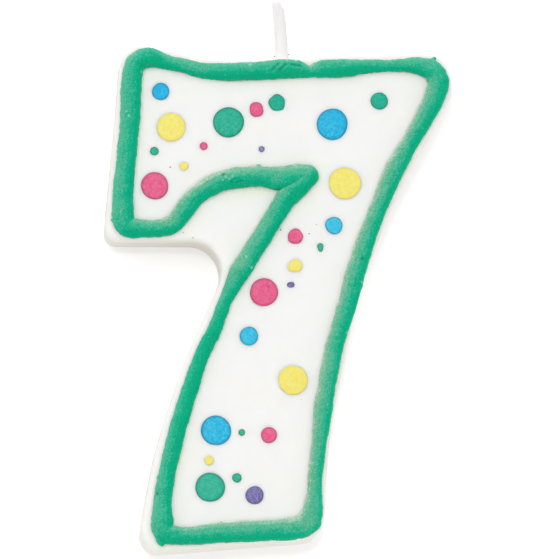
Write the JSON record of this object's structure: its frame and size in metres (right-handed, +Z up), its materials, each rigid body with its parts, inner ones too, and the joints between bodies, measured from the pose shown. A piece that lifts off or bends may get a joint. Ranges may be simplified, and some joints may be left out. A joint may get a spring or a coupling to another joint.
{
  "type": "number birthday candle",
  "caption": "Flat cast wax candle in the shape of a 7, with a raised green wax bead round its face, coloured dots and a coated cotton wick standing at the top.",
  "frame": {"origin": "on the flat of the foot, under the middle of the candle's width and of its depth", "axes": "+Z up along the wick, +X to the reader's right, and the decorated face looks along -Y"},
  "size_m": [0.0538, 0.0105, 0.0818],
  "materials": {
    "white_wax": "satin cast wax",
    "green_wax": "satin wax, paler where it is thin",
    "wick_cotton": "braided cotton soaked in wax",
    "wick_wax": "satin wax over braid",
    "blue_dots": "thin film of coloured wax",
    "yellow_dots": "thin film of coloured wax",
    "pink_dots": "thin film of coloured wax",
    "green_dots": "thin film of coloured wax",
    "purple_dots": "thin film of coloured wax"
  },
  "bodies": {
    "root": {"wax_body": "white_wax", "outline_bead": "green_wax", "wick_core": "wick_cotton", "wick_coat": "wick_wax", "dot_01_blue": "blue_dots", "dot_02_green": "green_dots", "dot_03_pink": "pink_dots", "dot_04_green": "green_dots", "dot_05_green": "green_dots", "dot_06_yellow": "yellow_dots", "dot_07_blue": "blue_dots", "dot_08_pink": "pink_dots", "dot_09_green": "green_dots", "dot_10_purple": "purple_dots", "dot_11_yellow": "yellow_dots", "dot_12_pink": "pink_dots", "dot_13_yellow": "yellow_dots", "dot_14_blue": "blue_dots", "dot_15_pink": "pink_dots", "dot_16_green": "green_dots", "dot_17_yellow": "yellow_dots", "dot_18_purple": "purple_dots", "dot_19_pink": "pink_dots", "dot_20_blue": "blue_dots", "dot_21_yellow": "yellow_dots", "dot_22_blue": "blue_dots", "dot_23_green": "green_dots", "dot_24_pink": "pink_dots", "dot_25_yellow": "yellow_dots", "dot_26_green": "green_dots", "dot_27_green": "green_dots", "dot_28_purple": "purple_dots"}
  },
  "joints": []
}
